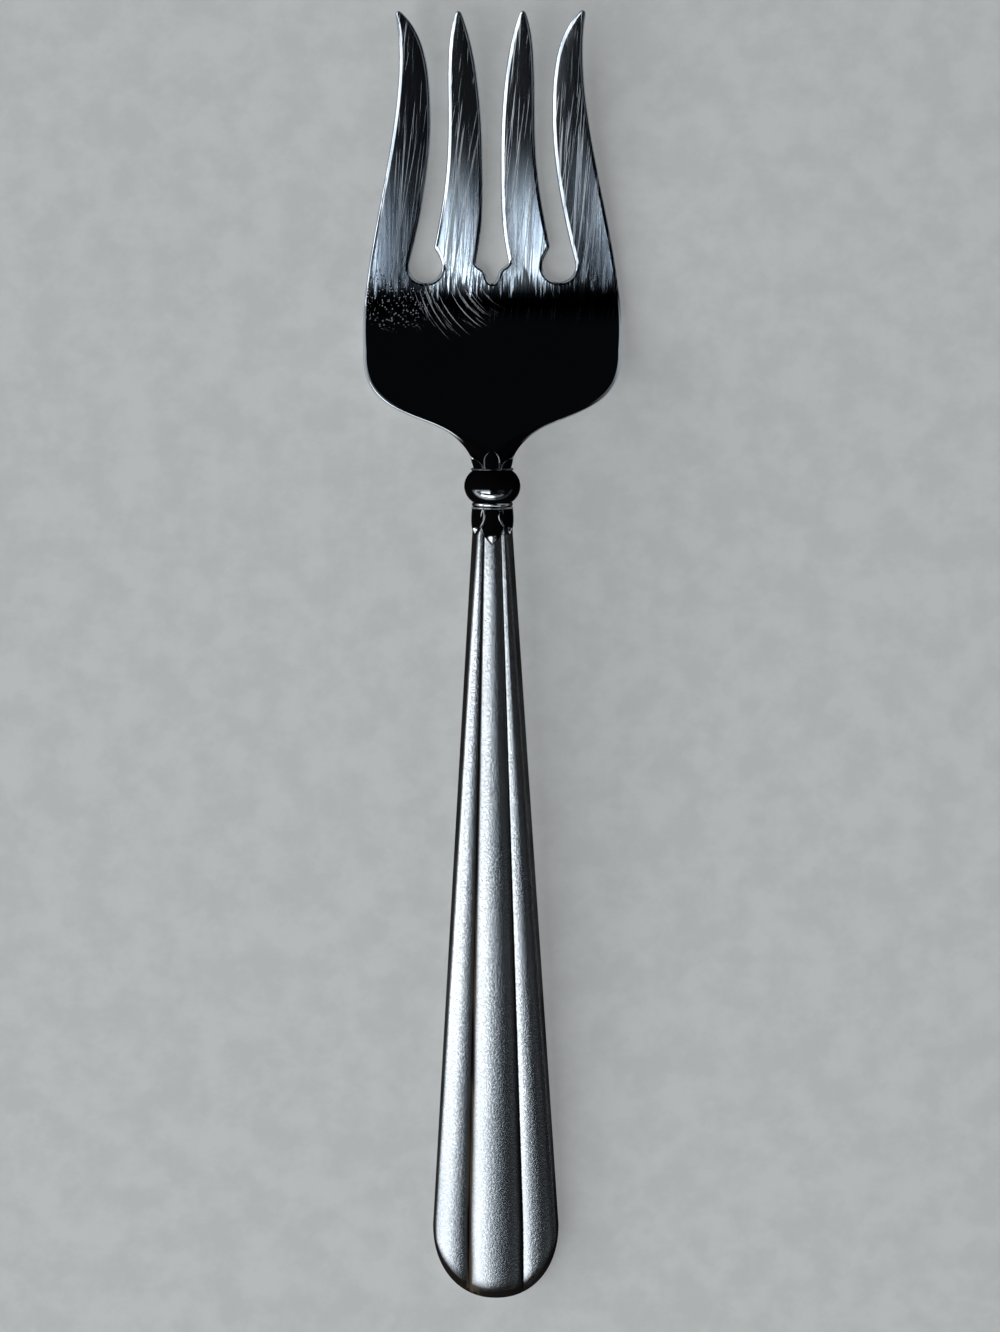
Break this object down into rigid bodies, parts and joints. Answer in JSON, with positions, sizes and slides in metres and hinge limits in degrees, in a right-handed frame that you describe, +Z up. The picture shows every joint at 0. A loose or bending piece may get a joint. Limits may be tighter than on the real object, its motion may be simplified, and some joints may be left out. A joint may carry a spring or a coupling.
{
  "type": "serving fork",
  "caption": "Serving fork with a broad dished palm, long curved tines, an oval knop between leaf cups and a reeded hollow handle that widens to a rounded end.",
  "frame": {"origin": "centre of the bounding box's bottom, on the table under the middle of the fork", "axes": "+Y along the fork from the handle's end to the tine tips, +Z up out of the hollow side of the palm, +X to the right seen from above with the tines away"},
  "size_m": [0.0436, 0.216, 0.0164],
  "materials": {
    "polished_steel": "mirror polished, with fine lengthwise scratches on the tines",
    "satin_steel": "satin, finely grained along the handle, darkened in the grooves",
    "filler_cement": "matt, hidden inside the handle"
  },
  "bodies": {
    "root": {"fork_head": "polished_steel", "upper_leaf_cup": "polished_steel", "knop": "polished_steel", "collar_ring": "polished_steel", "lower_leaf_cup": "satin_steel", "handle_front_shell": "satin_steel", "handle_back_shell": "satin_steel", "handle_filler": "filler_cement"}
  },
  "joints": []
}
